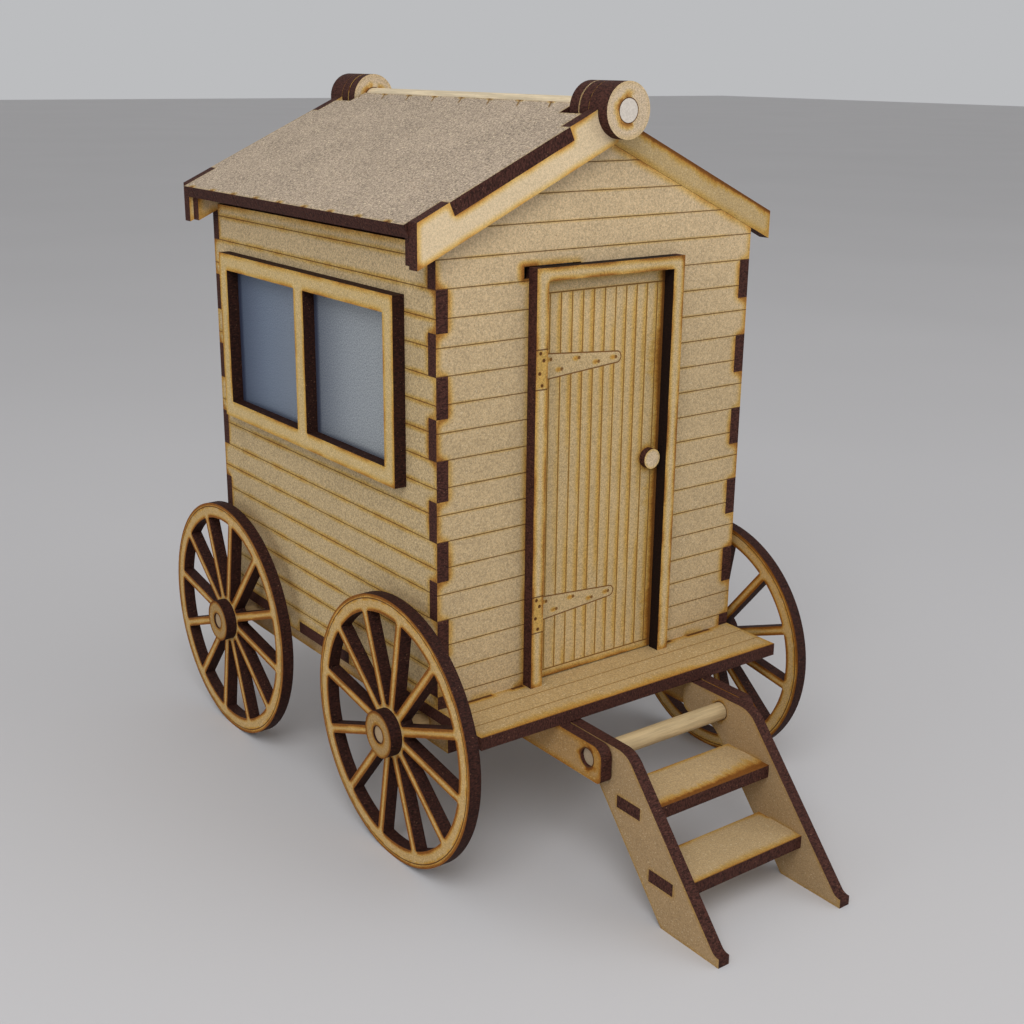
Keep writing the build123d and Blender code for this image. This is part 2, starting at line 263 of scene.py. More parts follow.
@dataclass(frozen=True)
class Drawn:
    """What a set of marks leaves on the face: cut lines and the scorch beside them."""

    line: Signal
    scorch: Signal

    @classmethod
    def scorched(cls, scorch: Signal) -> "Drawn":
        """Scorch alone, with no line."""
        return cls(scorch * 0.0, scorch)

    def joined(self, other: "Drawn") -> "Drawn":
        """These marks together with others on the same face."""
        return Drawn(self.line.most(other.line), self.scorch.most(other.scorch))


class NodeBench:
    """A material's node tree, with short ways to lay nodes and join them."""

    CUT_SAMPLES = 12
    CLOSED_AT_CUT = 0.46
    RELIEF_STRENGTH = 0.8
    MATT_SPECULAR = 0.14
    MIX_LOW, MIX_HIGH, MIX_RESULT = 6, 7, 2

    def __init__(self, name: str) -> None:
        """Open an empty material.

        Args:
            name: The material's name.
        """
        self.material = bpy.data.materials.new(name)
        self.material.use_nodes = True
        self.tree = self.material.node_tree
        self.tree.nodes.clear()
        self.coordinates = self.add("ShaderNodeTexCoord")

    def add(self, kind: str, **settings: object) -> bpy.types.Node:
        """Lay one node and give it its settings."""
        node = self.tree.nodes.new(kind)
        for key, value in settings.items():
            setattr(node, key, value)
        return node

    def join(self, socket: bpy.types.NodeSocket, value: Union[Number, tuple]) -> None:
        """Link a signal to a socket, or set the socket to a plain value."""
        if isinstance(value, Signal):
            self.tree.links.new(value.socket, socket)
        else:
            socket.default_value = value

    def math(self, operation: str, first: Number, second: Number, clamp: bool = False) -> Signal:
        """One step of arithmetic.

        Args:
            operation: The operation's name.
            first: The first value.
            second: The second value.
            clamp: Whether the result is held between 0 and 1.

        Returns:
            The result.
        """
        node = self.add("ShaderNodeMath", operation=operation, use_clamp=clamp)
        self.join(node.inputs[0], first)
        self.join(node.inputs[1], second)
        return Signal(self, node.outputs[0])

    def mixed(self, kind: str, amount: Signal, low: Paint, high: Paint) -> Signal:
        """Mix two colours.

        Args:
            kind: The name of the way they mix.
            amount: 0 for the low colour and 1 for the high one.
            low: The first colour.
            high: The second colour.

        Returns:
            The mixed colour.
        """
        node = self.add("ShaderNodeMix", data_type="RGBA", blend_type=kind)
        self.join(node.inputs["Factor"], amount)
        self.join(node.inputs[self.MIX_LOW], low)
        self.join(node.inputs[self.MIX_HIGH], high)
        return Signal(self, node.outputs[self.MIX_RESULT])

    def spot(self) -> Spot:
        """Where the shader is, in millimetres, and which way the surface faces."""
        place = Signal(self, self.coordinates.outputs["Object"]).scaled((TO_MM, TO_MM, TO_MM))
        parts = self.add("ShaderNodeSeparateXYZ")
        self.join(parts.inputs[0], place)
        axes = [Signal(self, output) for output in parts.outputs]
        return Spot(*axes, place, Signal(self, self.coordinates.outputs["Normal"]))

    def near_cut(self, reach: float) -> Signal:
        """How near the surface is to the edge of its sheet: 1 at the cut and 0 beyond reach."""
        node = self.add("ShaderNodeAmbientOcclusion", inside=True, only_local=True)
        node.samples = self.CUT_SAMPLES
        node.inputs["Distance"].default_value = reach / TO_MM
        open_part = Signal(self, node.outputs["AO"])
        return ((1.0 - open_part) / self.CLOSED_AT_CUT).held()

    def finish(self, colour: Signal, roughness: Number, height: Signal, depth: float) -> bpy.types.Material:
        """Close the material with a matt surface that has a little relief.

        Args:
            colour: The surface's colour.
            roughness: The surface's roughness.
            height: The relief, from 0 to 1.
            depth: How deep the relief is, in millimetres.

        Returns:
            The finished material.
        """
        relief = self.add("ShaderNodeBump")
        relief.inputs["Strength"].default_value = self.RELIEF_STRENGTH
        relief.inputs["Distance"].default_value = depth / TO_MM
        self.join(relief.inputs["Height"], height)
        skin = self.add("ShaderNodeBsdfPrincipled")
        self.join(skin.inputs["Base Color"], colour)
        self.join(skin.inputs["Roughness"], roughness)
        skin.inputs["Specular IOR Level"].default_value = self.MATT_SPECULAR
        self.tree.links.new(relief.outputs[0], skin.inputs["Normal"])
        out = self.add("ShaderNodeOutputMaterial")
        self.tree.links.new(skin.outputs[0], out.inputs["Surface"])
        return self.material


@dataclass(frozen=True)
class Speckle:
    """One layer of noise: how fine it is, and the levels between which it fades in."""

    scale: float
    detail: float
    rough: float
    span: Fade

    def laid(self, place: Signal, finer: float = 1.0) -> Signal:
        """The layer read at a place, from 0 to 1, and finer than usual by a factor."""
        return place.noise(self.scale * finer, self.detail, self.rough).fade(*self.span)


PATCHES = Speckle(0.12, 1.0, 0.5, (0.3, 0.7))
BROAD_PATCHES = Speckle(0.08, 1.0, 0.5, (0.3, 0.7))
RING_PATCHES = Speckle(0.35, 2.0, 0.5, (0.3, 0.65))
PLANK_PATCHES = Speckle(0.22, 2.0, 0.5, (0.25, 0.7))
EDGE_STREAKS = Speckle(0.9, 2.0, 0.6, (0.25, 0.75))
CLOUD = Speckle(0.09, 3.0, 0.5, (0.3, 0.7))
FINE_SPECKLE = Speckle(3.4, 2.0, 0.8, (0.38, 0.62))
COARSE_SPECKLE = Speckle(2.2, 1.0, 0.6, (0.34, 0.66))
DARK_FLECKS = Speckle(2.2, 2.0, 0.6, (0.63, 0.7))
PALE_FIBRES = Speckle(2.8, 1.0, 0.5, (0.64, 0.72))
CUT_STRIPES = Speckle(3.0, 2.0, 0.8, (0.3, 0.7))
PALE_CHIPS = Speckle(2.8, 2.0, 0.6, (0.66, 0.74))
BIRCH_STREAKS = Speckle(1.1, 4.0, 0.7, (0.3, 0.7))
BIRCH_PORES = Speckle(3.0, 2.0, 0.6, (0.62, 0.76))
SAWN_SPECKLE = Speckle(2.4, 3.0, 0.7, (0.3, 0.75))
FROST = Speckle(3.4, 2.0, 0.7, (0.38, 0.62))


class Marks(Protocol):
    """Marks that the laser left on a face."""

    def draw(self, spot: Spot) -> Drawn:
        """Lay the nodes of the marks."""


@dataclass(frozen=True)
class BoardLines:
    """Level lines one board apart, on every side of a wall but its inner one."""

    start: float
    pitch: float
    inward: Direction
    fringe: float
    glow: float
    outer: Fade = (0.6, 0.3)
    line: Fade = (0.17, 0.06)
    line_strength: float = 0.8
    patchy: float = 0.35
    steady: float = 0.35

    def draw(self, spot: Spot) -> Drawn:
        """Draw the board lines.

        Args:
            spot: Where the shader is.

        Returns:
            The lines and their faint scorch.
        """
        distance = (spot.z - self.start).to_nearest(self.pitch)
        outside = spot.facing.along(self.inward).fade(*self.outer)
        patches = PATCHES.laid(spot.place)
        line = distance.fade(*self.line) * outside
        scorch = distance.fade(self.fringe, 0.0) * (patches * self.patchy + self.steady) * self.glow
        return Drawn(line * self.line_strength, scorch * outside)


@dataclass(frozen=True)
class NotchBurn:
    """The scorch beside the notch that a door peg drops through."""

    edge: float
    bottom: float
    top: float
    reach: float
    flatness: float = 2.0
    inner_end: Fade = (6.0, 3.0)

    def draw(self, spot: Spot) -> Drawn:
        """Draw the scorch.

        Args:
            spot: Where the shader is.

        Returns:
            The scorch round the notch's outer end.
        """
        beside = (self.edge - spot.x).most(0.0)
        beyond = ((spot.z - (self.bottom + self.top) / 2).size() - (self.top - self.bottom) / 2).most(0.0)
        distance = (beside * beside + beyond * beyond * self.flatness).power(0.5)
        near = spot.x.fade(*(self.edge + past for past in self.inner_end))
        return Drawn.scorched(distance.fade(self.reach, 0.0) * near)


@dataclass(frozen=True)
class PlankLines:
    """Lines across the platform, along its width, at given places."""

    places: tuple[float, ...]
    upper: Fade = (0.3, 0.6)
    line_strength: float = 0.6
    fringe: float = 0.8
    glow: float = 0.2

    def draw(self, spot: Spot) -> Drawn:
        """Draw the lines.

        Args:
            spot: Where the shader is.

        Returns:
            The lines with next to no scorch.
        """
        distance = (spot.y - self.places[0]).size()
        for place in self.places[1:]:
            distance = distance.least((spot.y - place).size())
        above = spot.facing.along(UPWARDS).fade(*self.upper)
        line = distance.fade(*BURNT_LINE) * above * self.line_strength
        return Drawn(line, distance.fade(self.fringe, 0.0) * above * self.glow)


@dataclass(frozen=True)
class Ring:
    """A ring round a hole or inside a rim, on both faces of an upright sheet."""

    side: SheetSide
    centre: tuple[float, float]
    radius: float
    width: float = 0.1
    glow: float = 0.6
    reach: float = 1.6

    def draw(self, spot: Spot) -> Drawn:
        """Draw the ring.

        Args:
            spot: Where the shader is.

        Returns:
            The dark ring and the scorch on both sides of it.
        """
        across = spot.x if self.side is SheetSide.ACROSS else spot.y
        from_middle = (across - self.centre[0]).diagonal(spot.z - self.centre[1])
        distance = (from_middle - self.radius).size()
        line = distance.fade(self.width * 2, self.width * 0.7)
        return Drawn(line, distance.fade(self.reach, 0.0) * RING_PATCHES.laid(spot.place) * self.glow)


@dataclass(frozen=True)
class SlopeTicks:
    """Short burns along one edge of the left roof panel."""

    apex: float
    edge: float
    pitch: float
    length: float
    slant: float
    glow: float
    width: Fade = (0.5, 0.1)
    halo_width: float = 1.6
    line_strength: float = 0.55
    scorch_strength: float = 0.5

    def draw(self, spot: Spot) -> Drawn:
        """Draw the ticks.

        Args:
            spot: Where the shader is.

        Returns:
            The faint ticks and the scorch round them.
        """
        run = (self.apex - spot.z) * math.sin(ROOF_PITCH) - spot.x * math.cos(ROOF_PITCH)
        inward = (run - self.edge).size()
        across = (spot.y + run * self.slant).to_nearest(self.pitch)
        tick = across.fade(*self.width) * inward.fade(self.length, self.length * 0.5)
        halo = across.fade(self.glow * self.halo_width, 0.0) * inward.fade(self.glow, 0.0)
        return Drawn(tick * self.line_strength, (tick * self.scorch_strength).most(halo))


@dataclass(frozen=True)
class EdgeGlow:
    """A patchy scorched band along one straight edge of a face, streaked across the edge."""

    direction: Direction
    place: float
    reach: float
    strength: float
    stretch: float = 0.2
    streaky: float = 0.35
    patchy: float = 0.5
    least_patch: float = 0.6
    curve: float = 1.5
    rim: Fade = (0.4, 0.1)
    rim_strength: float = 0.5

    def draw(self, spot: Spot) -> Drawn:
        """Draw the band.

        Args:
            spot: Where the shader is.

        Returns:
            The burnt rim and the scorch behind it.
        """
        inward = (spot.place.along(self.direction) - self.place).size()
        streaks = EDGE_STREAKS.laid(spot.place.scaled(drawn_out(self.direction, self.stretch)))
        patches = BROAD_PATCHES.laid(spot.place)
        depth = (streaks * self.streaky + (1.0 - self.streaky)) * (patches * self.patchy + self.least_patch)
        scorch = (1.0 - inward / (depth * self.reach)).held().power(self.curve) * self.strength
        return Drawn(inward.fade(*self.rim) * self.rim_strength, scorch)


@dataclass(frozen=True)
class FootSlits:
    """The dark slits where the tabs of the front wall pass through the floor."""

    line: float
    spans: tuple[tuple[float, float], ...]
    ends: Fade = (0.3, -0.1)
    depth: Fade = (1.2, 0.95)
    ragged: float = 0.5
    ragged_scale: float = 0.9
    glow_ends: Fade = (2.0, 0.0)
    glow_depth: Fade = (2.6, 0.4)
    glow: float = 0.8

    def draw(self, spot: Spot) -> Drawn:
        """Draw the slits.

        Args:
            spot: Where the shader is.

        Returns:
            The slits and the scorch in front of them.
        """
        away = (spot.y - self.line).size()
        reach = None
        for near, far in self.spans:
            beyond = (spot.x.size() - (near + far) / 2).size() - (far - near) / 2
            reach = beyond if reach is None else reach.least(beyond)
        torn = away + spot.place.noise(self.ragged_scale, 1.0) * self.ragged
        slit = torn.fade(*self.depth) * reach.fade(*self.ends)
        return Drawn(slit, away.fade(*self.glow_depth) * reach.fade(*self.glow_ends) * self.glow)


@dataclass(frozen=True)
class Strap:
    """The outline of a strap hinge: tapered, with a round tip and nail holes."""

    level: float
    root: float
    root_half: float
    tip: float
    tip_half: float
    nails: tuple[tuple[float, float], ...]
    smear_shift: float = 0.9
    smear_length: float = 0.4
    smear_size: Fade = (0.95, 0.1)
    smear_strength: float = 0.75

    def shape(self, spot: Spot) -> Signal:
        """How far the spot is outside the strap, less than 0 inside it.

        Args:
            spot: Where the shader is.

        Returns:
            The distance in millimetres.
        """
        rise = spot.z - self.level
        end = self.tip - self.tip_half
        slope = (self.root_half - self.tip_half) / (end - self.root)
        body = rise.size() - (end - spot.x) * slope - self.tip_half
        cap = (spot.x - end).most(0.0).diagonal(rise) - self.tip_half
        return body.most(spot.x - end).least(cap)

    def nail_marks(self, spot: Spot) -> Drawn:
        """The strap's nail holes, each with a smear of scorch to its left.

        Args:
            spot: Where the shader is.

        Returns:
            The holes and smears.
        """
        marks = None
        for along, rise in self.nails:
            aside = spot.x - along
            above = spot.z - (self.level + rise)
            left = aside + self.smear_shift
            smear = (left * left * self.smear_length + above * above).power(0.5)
            scorch = smear.fade(*self.smear_size) * self.smear_strength
            drawn = Drawn(aside.diagonal(above).fade(*NAIL_HOLE), scorch)
            marks = drawn if marks is None else marks.joined(drawn)
        return marks


@dataclass(frozen=True)
class DoorFace:
    """Upright planks between two cross rails, under two strap hinges."""

    first_plank: float
    plank_width: float
    rail_low: float
    rail_high: float
    straps: tuple[Strap, ...]
    soft: float = 0.1
    long_patches: Direction = (1.0, 1.0, 0.25)
    line_strength: float = 0.85
    plank_glow: Fade = (0.3, 1.0)
    patchy: float = 0.55
    steady: float = 0.1
    fringe: float = 0.5
    fringe_glow: float = 0.6
    rail_line: Fade = (0.2, 0.07)
    rail_fringe: float = 0.8
    rail_glow: float = 0.35
    burn: float = 0.95

    def planks(self, spot: Spot) -> Drawn:
        """Draw the planks between the rails.

        Args:
            spot: Where the shader is.

        Returns:
            The plank lines, with scorch to the left of each.
        """
        along = spot.x - self.first_plank
        distance = along.to_nearest(self.plank_width)
        between = spot.z.fade(self.rail_low - self.soft, self.rail_low + self.soft)
        between = between * spot.z.fade(self.rail_high + self.soft, self.rail_high - self.soft)
        patches = PLANK_PATCHES.laid(spot.place.scaled(self.long_patches))
        line = distance.fade(*BURNT_LINE) * between * self.line_strength
        beside = (along / self.plank_width).fraction().fade(*self.plank_glow)
        scorch = beside * between * (patches * self.patchy + self.steady)
        return Drawn(line, scorch.most(distance.fade(self.fringe, 0.0) * between * self.fringe_glow))

    def draw(self, spot: Spot) -> Drawn:
        """Draw the door's face.

        Args:
            spot: Where the shader is.

        Returns:
            The planks, rails and strap hinges.
        """
        planks = self.planks(spot)
        line, scorch = planks.line, planks.scorch
        rails = (spot.z - self.rail_low).size().least((spot.z - self.rail_high).size())
        for strap in self.straps:
            shape = strap.shape(spot)
            outside = shape.fade(-self.soft, self.soft)
            nails = strap.nail_marks(spot)
            line = (line * outside).most(shape.size().fade(*OUTLINE)).most(nails.line)
            scorch = (scorch * outside).most(nails.scorch)
        line = line.most(rails.fade(*self.rail_line))
        scorch = scorch.most(rails.fade(self.rail_fringe, 0.0) * self.rail_glow)
        front = spot.facing.along(TOWARDS_DOOR).fade(*LOOKS_SQUARE)
        return Drawn(line * front * self.burn, scorch * front)


@dataclass(frozen=True)
class JambLeaves:
    """The hinge leaves drawn across the left jamb of the door frame."""

    levels: tuple[float, ...]
    above: float
    below: float
    edge: float
    nails: tuple[tuple[float, float], ...]
    soft: float = 0.1
    end_strength: float = 0.85
    glow: float = 0.5
    glow_edge: float = 0.6
    nail_halo: Fade = (1.2, 0.2)
    nail_glow: float = 0.7

    def leaf(self, spot: Spot, level: float) -> Drawn:
        """Draw one leaf.

        Args:
            spot: Where the shader is.
            level: The height of its hinge.

        Returns:
            The leaf's ends, nail holes and scorch.
        """
        top = (spot.z - (level + self.above)).size()
        bottom = (spot.z - (level - self.below)).size()
        middle = (spot.z - (level + (self.above - self.below) / 2)).size()
        half = (self.above + self.below) / 2
        ends = top.least(bottom).fade(*OUTLINE) * self.end_strength
        marks = Drawn(ends, middle.fade(half, half - self.glow_edge) * self.glow)
        for along, rise in self.nails:
            hole = (spot.x - along).diagonal(spot.z - (level + rise))
            marks = marks.joined(Drawn(hole.fade(*NAIL_HOLE), hole.fade(*self.nail_halo) * self.nail_glow))
        return marks

    def draw(self, spot: Spot) -> Drawn:
        """Draw the leaves.

        Args:
            spot: Where the shader is.

        Returns:
            All the leaves, on the front of the jamb alone.
        """
        front = spot.facing.along(TOWARDS_DOOR).fade(*LOOKS_SQUARE)
        jamb = spot.x.fade(self.edge, self.edge - self.soft) * front
        marks = self.leaf(spot, self.levels[0])
        for level in self.levels[1:]:
            marks = marks.joined(self.leaf(spot, level))
        return Drawn(marks.line * jamb, marks.scorch * jamb)


@dataclass(frozen=True)
class Fibreboard:
    """Cut fibreboard: speckled tan faces, scorch that creeps in from the cuts, and dark cut edges."""

    name: str
    side: SheetSide
    tone: Colour
    scorch: float = 0.8
    reach: float = 2.1
    marks: tuple[Marks, ...] = ()
    # Cut edges within this half width of the middle take painted shade, near black, as inside a doorway.
    reveal: float = 0.0
    # Painted light: how much lighter the face grows towards its top, and the heights over which it grows.
    painted_light_top: float = 0.0
    painted_light_span: Fade = (95.0, 155.0)
    grit: float = 0.34
    grain: float = 1.0
    relief: float = 0.12
    burn: Colour = paint(92, 58, 28)
    edge: Colour = paint(82, 49, 41)
    edge_deep: Colour = paint(38, 20, 16)
    chip: Colour = paint(158, 118, 92)
    # Painted shade for the cut edges inside a doorway.
    reveal_shade: Colour = paint(12, 8, 7)
    fibre: Colour = paint(236, 219, 184)

    CLOUD_SHARE, FINE_SHARE, COARSE_SHARE = 0.1, 0.55, 0.35
    LIGHT_SHARE = 0.85
    # The first tint is painted light towards the top; the second darkens the flecks.
    PALE_TINT, FLECK_TINT = (1.3, 1.32, 1.42), (0.45, 0.4, 0.32)
    FLECK_STRENGTH, FIBRE_STRENGTH, CHIP_STRENGTH = 2.0, 1.3, 0.6
    FIBRE_SCALE = (1.0, 0.6, 1.5)
    CUT_STRETCH = 0.45
    # How softly and how strongly the painted shade blackens the cut edges in a doorway.
    REVEAL_EDGE, REVEAL_STRENGTH = 0.4, 0.85
    CREEP_PATCHY, CREEP_STEADY = 0.5, 0.6
    GRAIN_SCALE, GRAIN_DETAIL, GRAIN_ROUGH = 1.5, 3.0, 0.7
    GRAIN_HEIGHT, GRAIN_DULL, DULL = 0.25, 0.2, 0.66
    FACE = (0.8, 0.95)
    SCORCHES = (
        ((0.0, 0.5), (0.98, 0.85, 0.46)),
        ((0.35, 0.85), (0.84, 0.64, 0.42)),
        ((0.7, 1.05), (0.5, 0.38, 0.34)),
    )

    def face_colour(self, spot: Spot) -> Signal:
        """The bare face: broad cloud, fine speckle, dark flecks and pale fibres, with painted light towards
        its top where asked.

        Args:
            spot: Where the shader is.

        Returns:
            The colour.
        """
        cloud = CLOUD.laid(spot.place) * self.CLOUD_SHARE
        fine = FINE_SPECKLE.laid(spot.place, self.grain) * self.FINE_SHARE
        coarse = COARSE_SPECKLE.laid(spot.place, self.grain) * self.COARSE_SHARE
        dark = shaded(self.tone, 1.0 - self.grit)
        light = shaded(self.tone, 1.0 + self.grit * self.LIGHT_SHARE)
        colour = (cloud + fine + coarse).blend(dark, light)
        # Painted light: the face grows lighter towards its top.
        if self.painted_light_top:
            colour = colour.tint(spot.z.fade(*self.painted_light_span) * self.painted_light_top, self.PALE_TINT)
        flecks = DARK_FLECKS.laid(spot.place, self.grain)
        colour = colour.tint(flecks * self.grit * self.FLECK_STRENGTH, self.FLECK_TINT)
        fibres = PALE_FIBRES.laid(spot.place.scaled(self.FIBRE_SCALE))
        return (fibres * self.grit * self.FIBRE_STRENGTH).blend(colour, self.fibre)

    def edge_colour(self, spot: Spot) -> Signal:
        """The cut edge: charred brown, finely speckled, with a few pale chips.

        Args:
            spot: Where the shader is.

        Returns:
            The colour, with painted shade that makes it near black inside the reveal of a doorway.
        """
        along_cut = spot.place.scaled(drawn_out(self.side.value, self.CUT_STRETCH))
        colour = CUT_STRIPES.laid(along_cut).blend(self.edge_deep, self.edge)
        colour = (PALE_CHIPS.laid(spot.place) * self.CHIP_STRENGTH).blend(colour, self.chip)
        # Painted shade: the cut edges inside a doorway go near black.
        if self.reveal:
            inside = spot.x.size().fade(self.reveal + self.REVEAL_EDGE, self.reveal)
            colour = (inside * self.REVEAL_STRENGTH).blend(colour, self.reveal_shade)
        return colour

    def build(self) -> bpy.types.Material:
        """Lay out the whole material.

        Returns:
            The material.
        """
        bench = NodeBench(self.name)
        spot = bench.spot()
        face = spot.facing.along(self.side.value).size().fade(*self.FACE)
        patches = PATCHES.laid(spot.place) * self.CREEP_PATCHY + self.CREEP_STEADY
        creep = (bench.near_cut(self.reach) * patches * self.scorch).held()
        drawn = Drawn.scorched(creep)
        for marks in self.marks:
            drawn = drawn.joined(marks.draw(spot))
        colour = self.face_colour(spot)
        for span, factors in self.SCORCHES:
            colour = colour.tint(drawn.scorch.fade(*span), factors)
        colour = face.blend(self.edge_colour(spot), colour)
        colour = (drawn.line * face).blend(colour, self.burn)
        grain = spot.place.noise(self.GRAIN_SCALE, self.GRAIN_DETAIL, self.GRAIN_ROUGH)
        height = grain * self.GRAIN_HEIGHT + (1.0 - drawn.line)
        return bench.finish(colour, grain * self.GRAIN_DULL + self.DULL, height, self.relief)


class Lengthways(Enum):
    """Which way a dowel lies."""

    ACROSS_HUT = (1.0, 0.0, 0.0)
    ALONG_HUT = (0.0, 1.0, 0.0)


@dataclass(frozen=True)
class BirchDowel:
    """A birch dowel: pale streaks along its length and closed pores on its sawn ends."""

    name: str
    lies: Lengthways
    tone: Colour
    end: Colour = paint(222, 212, 200)
    pore: Colour = paint(140, 104, 66)

    STRETCH = 0.06
    DARK_STREAK, LIGHT_STREAK, DARK_END, PORE_STRENGTH = 0.74, 1.1, 0.82, 0.4
    STREAK_DULL, DULL, RELIEF = 0.15, 0.55, 0.05
    SAWN = (0.75, 0.95)

    def build(self) -> bpy.types.Material:
        """Lay out the whole material.

        Returns:
            The material.
        """
        bench = NodeBench(self.name)
        spot = bench.spot()
        along = spot.place.scaled(drawn_out(self.lies.value, self.STRETCH))
        streaks = BIRCH_STREAKS.laid(along)
        colour = streaks.blend(shaded(self.tone, self.DARK_STREAK), shaded(self.tone, self.LIGHT_STREAK))
        colour = (BIRCH_PORES.laid(along) * self.PORE_STRENGTH).blend(colour, self.pore)
        sawn = spot.facing.along(self.lies.value).size().fade(*self.SAWN)
        end = SAWN_SPECKLE.laid(spot.place).blend(shaded(self.end, self.DARK_END), self.end)
        colour = sawn.blend(colour, end)
        return bench.finish(colour, streaks * self.STREAK_DULL + self.DULL, streaks, self.RELIEF)


@dataclass(frozen=True)
class FrostedPane:
    """A frosted sheet that lets a blurred, bluish light through, with painted light and painted shadow in
    its colour.
    """

    name: str
    lights: tuple[tuple[float, float], ...]
    sill: float
    tone: Colour = paint(134, 150, 174)
    # Painted light: the front end of the pane is lighter than its back.
    pale: Colour = paint(200, 205, 206)
    frost: Colour = paint(88, 100, 120)
    shade: Colour = paint(52, 58, 82)
    sill_shade: float = 0.7
    sill_height: float = 1.6
    wide_shade: float = 0.45
    bar_shade: float = 0.9
    bar_span: Fade = (-3.4, -0.8)
    light_end: Fade = (1.4, 1.0)
    frost_strength: float = 0.7
    frost_dull: float = 0.12
    dull: float = 0.42
    relief: float = 0.02
    clearness: float = 0.35
    specular: float = 0.5
    ior: float = 1.3

    def shadows(self, spot: Spot) -> Signal:
        """Painted shadows and reflections: the blurred dark bands at the back of each light and over the
        sill.

        Args:
            spot: Where the shader is.

        Returns:
            How dark the pane is.
        """
        dark = spot.z.fade(self.sill + self.sill_height, self.sill) * self.sill_shade
        for near, far in self.lights:
            within = spot.y.fade(*(far + past for past in self.light_end))
            wide = spot.y.fade((near + far) / 2, far) * self.wide_shade
            bar = spot.y.fade(*(far + past for past in self.bar_span))
            dark = dark.most(bar.most(wide) * within * self.bar_shade)
        return dark

    def build(self) -> bpy.types.Material:
        """Lay out the whole material.

        Returns:
            The material.
        """
        bench = NodeBench(self.name)
        spot = bench.spot()
        front, back = self.lights[0][0], self.lights[-1][1]
        frost = FROST.laid(spot.place)
        # Painted light and shade: the pane grows lighter from its back towards its front.
        colour = spot.y.fade(back, front).blend(self.tone, self.pale)
        colour = (frost * self.frost_strength).blend(colour, self.frost)
        colour = self.shadows(spot).blend(colour, self.shade)
        material = bench.finish(colour, frost * self.frost_dull + self.dull, frost, self.relief)
        skin = next(node for node in bench.tree.nodes if node.type == "BSDF_PRINCIPLED")
        skin.inputs["Transmission Weight"].default_value = self.clearness
        skin.inputs["Specular IOR Level"].default_value = self.specular
        skin.inputs["IOR"].default_value = self.ior
        return material


def dress(name: str, material: bpy.types.Material) -> None:
    """Give one CAD node its finish.

    Args:
        name: The node's name.
        material: Its finish.
    """
    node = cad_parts[name]
    if not node.material_slots:
        node.data.materials.append(material)
    for place in node.material_slots:
        place.material = material
    log.info("dressed %s in %s", name, material.name)


def millimetres(name: str) -> tuple[Vector, Vector]:
    """The lowest and highest corners of a CAD node in millimetres."""
    low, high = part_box(name)
    return low * TO_MM, high * TO_MM


@dataclass(frozen=True)
class Disc:
    """A round node seen square to its faces: its middle and its radius in millimetres."""

    centre: tuple[float, float]
    radius: float

    @classmethod
    def of(cls, name: str, side: SheetSide) -> "Disc":
        """Measure a round node.

        Args:
            name: The node's name.
            side: Which way its round faces look.

        Returns:
            The disc.
        """
        low, high = millimetres(name)
        across = 0 if side is SheetSide.ACROSS else 1
        centre = ((low[across] + high[across]) / 2, (low.z + high.z) / 2)
        return cls(centre, (high.z - low.z) / 2)


def leave_edit() -> None:
    """Leave edit mode if it is on, and select nothing."""
    if bpy.context.mode != "OBJECT":
        bpy.ops.object.mode_set(mode="OBJECT")
    bpy.ops.object.select_all(action="DESELECT")


def enter_edit(piece: bpy.types.Object) -> None:
    """Open one piece in edit mode with all of it selected."""
    leave_edit()
    piece.select_set(True)
    bpy.context.view_layer.objects.active = piece
    bpy.ops.object.mode_set(mode="EDIT")
    bpy.ops.mesh.select_all(action="SELECT")


